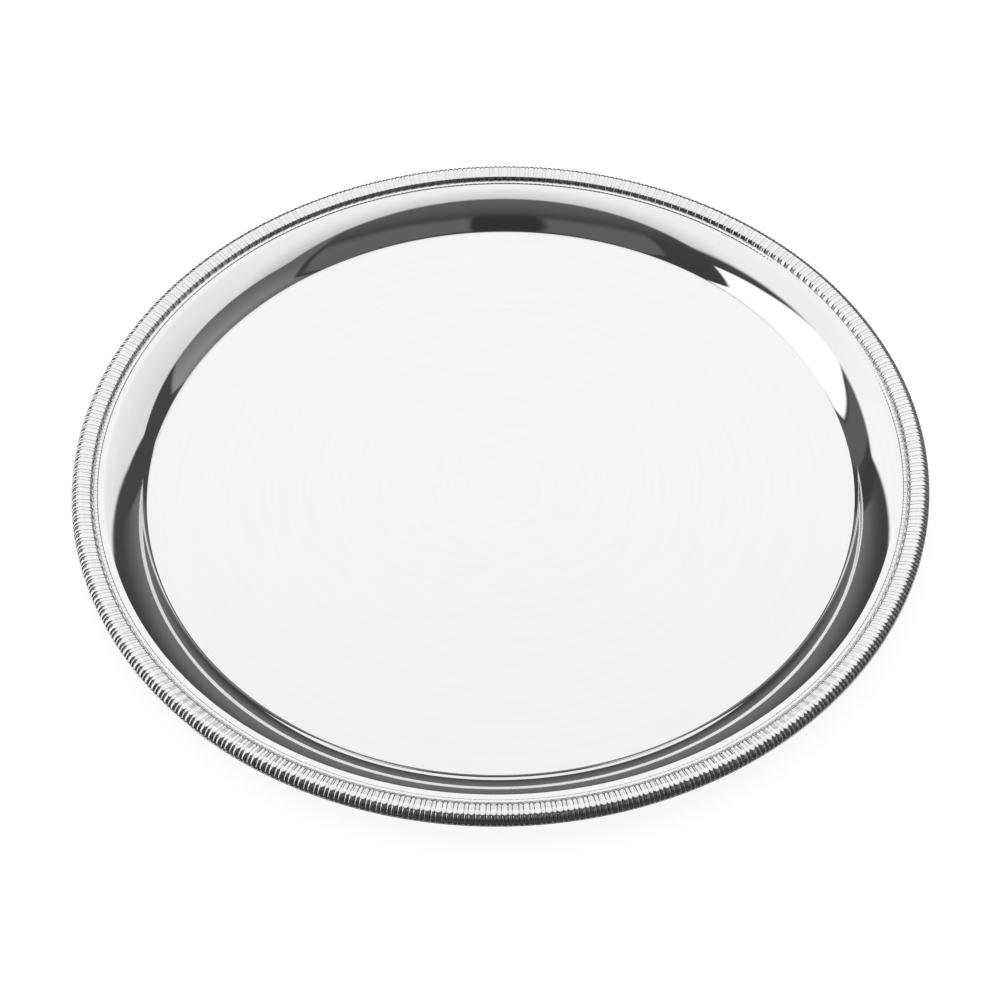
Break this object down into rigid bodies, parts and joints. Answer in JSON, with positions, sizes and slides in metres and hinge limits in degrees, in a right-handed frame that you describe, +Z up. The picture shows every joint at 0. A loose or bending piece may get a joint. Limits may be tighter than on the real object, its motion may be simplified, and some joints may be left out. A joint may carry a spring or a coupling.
{
  "type": "round salver",
  "caption": "Round polished silver salver: flat well, curved wall and flange, and an applied gadroon border of radial flutes with a fine beaded inner line.",
  "frame": {"origin": "centre of the underside, on the surface that the salver stands on", "axes": "+Z up along the axis of the round tray, out of the well; X and Y are equivalent"},
  "size_m": [0.35, 0.35, 0.0165],
  "materials": {
    "polished_silver": "mirror-polished silver plate with fine circumferential polishing lines",
    "border_silver": "bright struck silver plate, darker in the grooves",
    "soft_solder": "dull grey solder, wiped smooth"
  },
  "bodies": {
    "root": {"tray_body": "polished_silver", "milgrain_wire": "border_silver", "border_filling": "soft_solder", "edge_wire": "border_silver", "border_section_1": "border_silver", "border_section_2": "border_silver", "border_section_3": "border_silver", "border_section_4": "border_silver", "border_section_5": "border_silver", "border_section_6": "border_silver", "border_section_7": "border_silver"}
  },
  "joints": []
}
